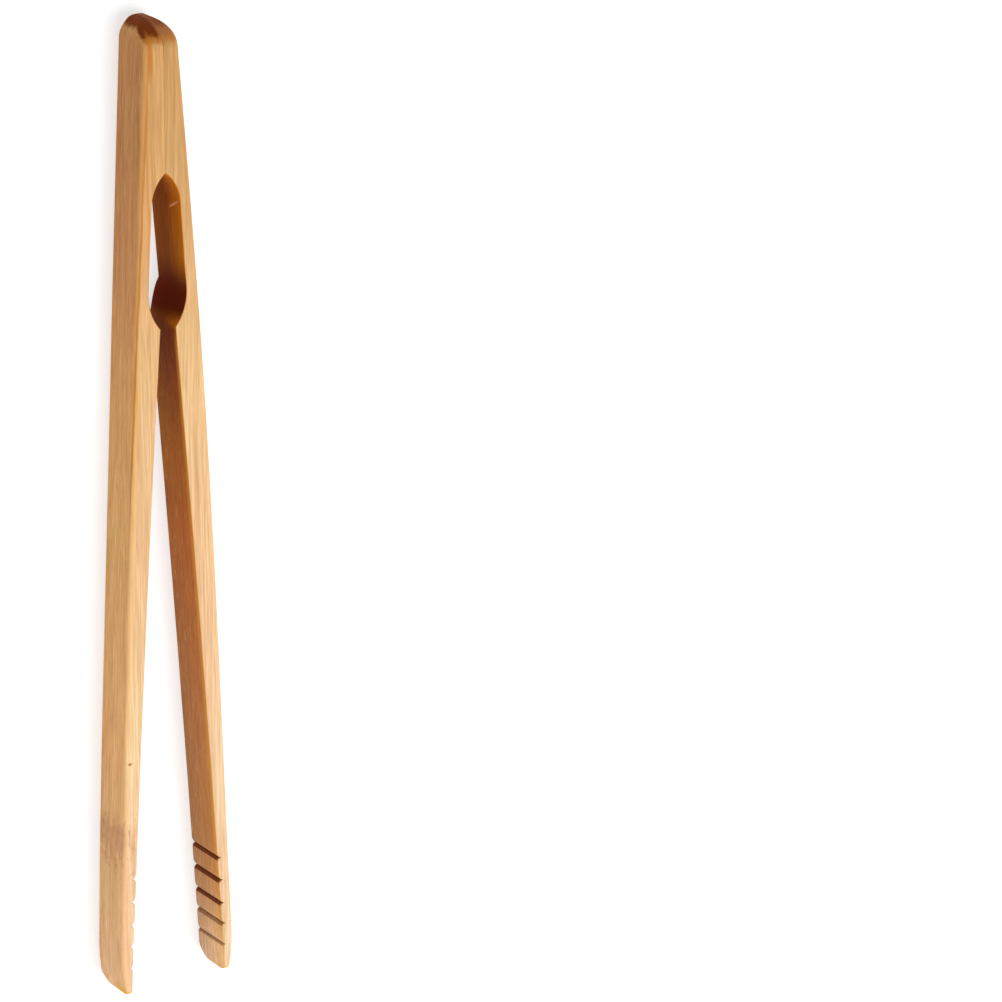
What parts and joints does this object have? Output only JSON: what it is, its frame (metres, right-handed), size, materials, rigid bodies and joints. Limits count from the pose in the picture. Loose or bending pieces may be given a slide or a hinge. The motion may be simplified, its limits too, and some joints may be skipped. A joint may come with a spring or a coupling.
{
  "type": "spring tongs",
  "caption": "Flat bamboo spring tongs: two glued strips with a slotted springy head and arms whose jaws have notched inner faces.",
  "frame": {"origin": "centre of the bounding box's base, on the back face that the tongs lie on", "axes": "+Y along the tongs towards the head, +Z out of the front face, X the opening direction"},
  "size_m": [0.0236, 0.18, 0.009],
  "materials": {
    "left_bamboo": "satin oiled bamboo",
    "right_bamboo": "satin oiled bamboo",
    "dried_glue": "dried wood glue"
  },
  "bodies": {
    "head": {"left_head_half": "left_bamboo", "right_head_half": "right_bamboo", "glue_film": "dried_glue"},
    "left_arm": {"left_arm": "left_bamboo"},
    "right_arm": {"right_arm": "right_bamboo"}
  },
  "joints": [
    {"name": "left_web_flex", "type": "hinge", "parent": "head", "child": "left_arm", "pos_m": [-0.0046, 0.047, 0.0045], "axis": [0, 0, 1], "range_deg": [-2, 4.05], "stiffness_Nm_per_rad": 6.4},
    {"name": "right_web_flex", "type": "hinge", "parent": "head", "child": "right_arm", "pos_m": [0.0046, 0.047, 0.0045], "axis": [0, 0, -1], "range_deg": [-2, 4.05], "stiffness_Nm_per_rad": 6.4}
  ]
}
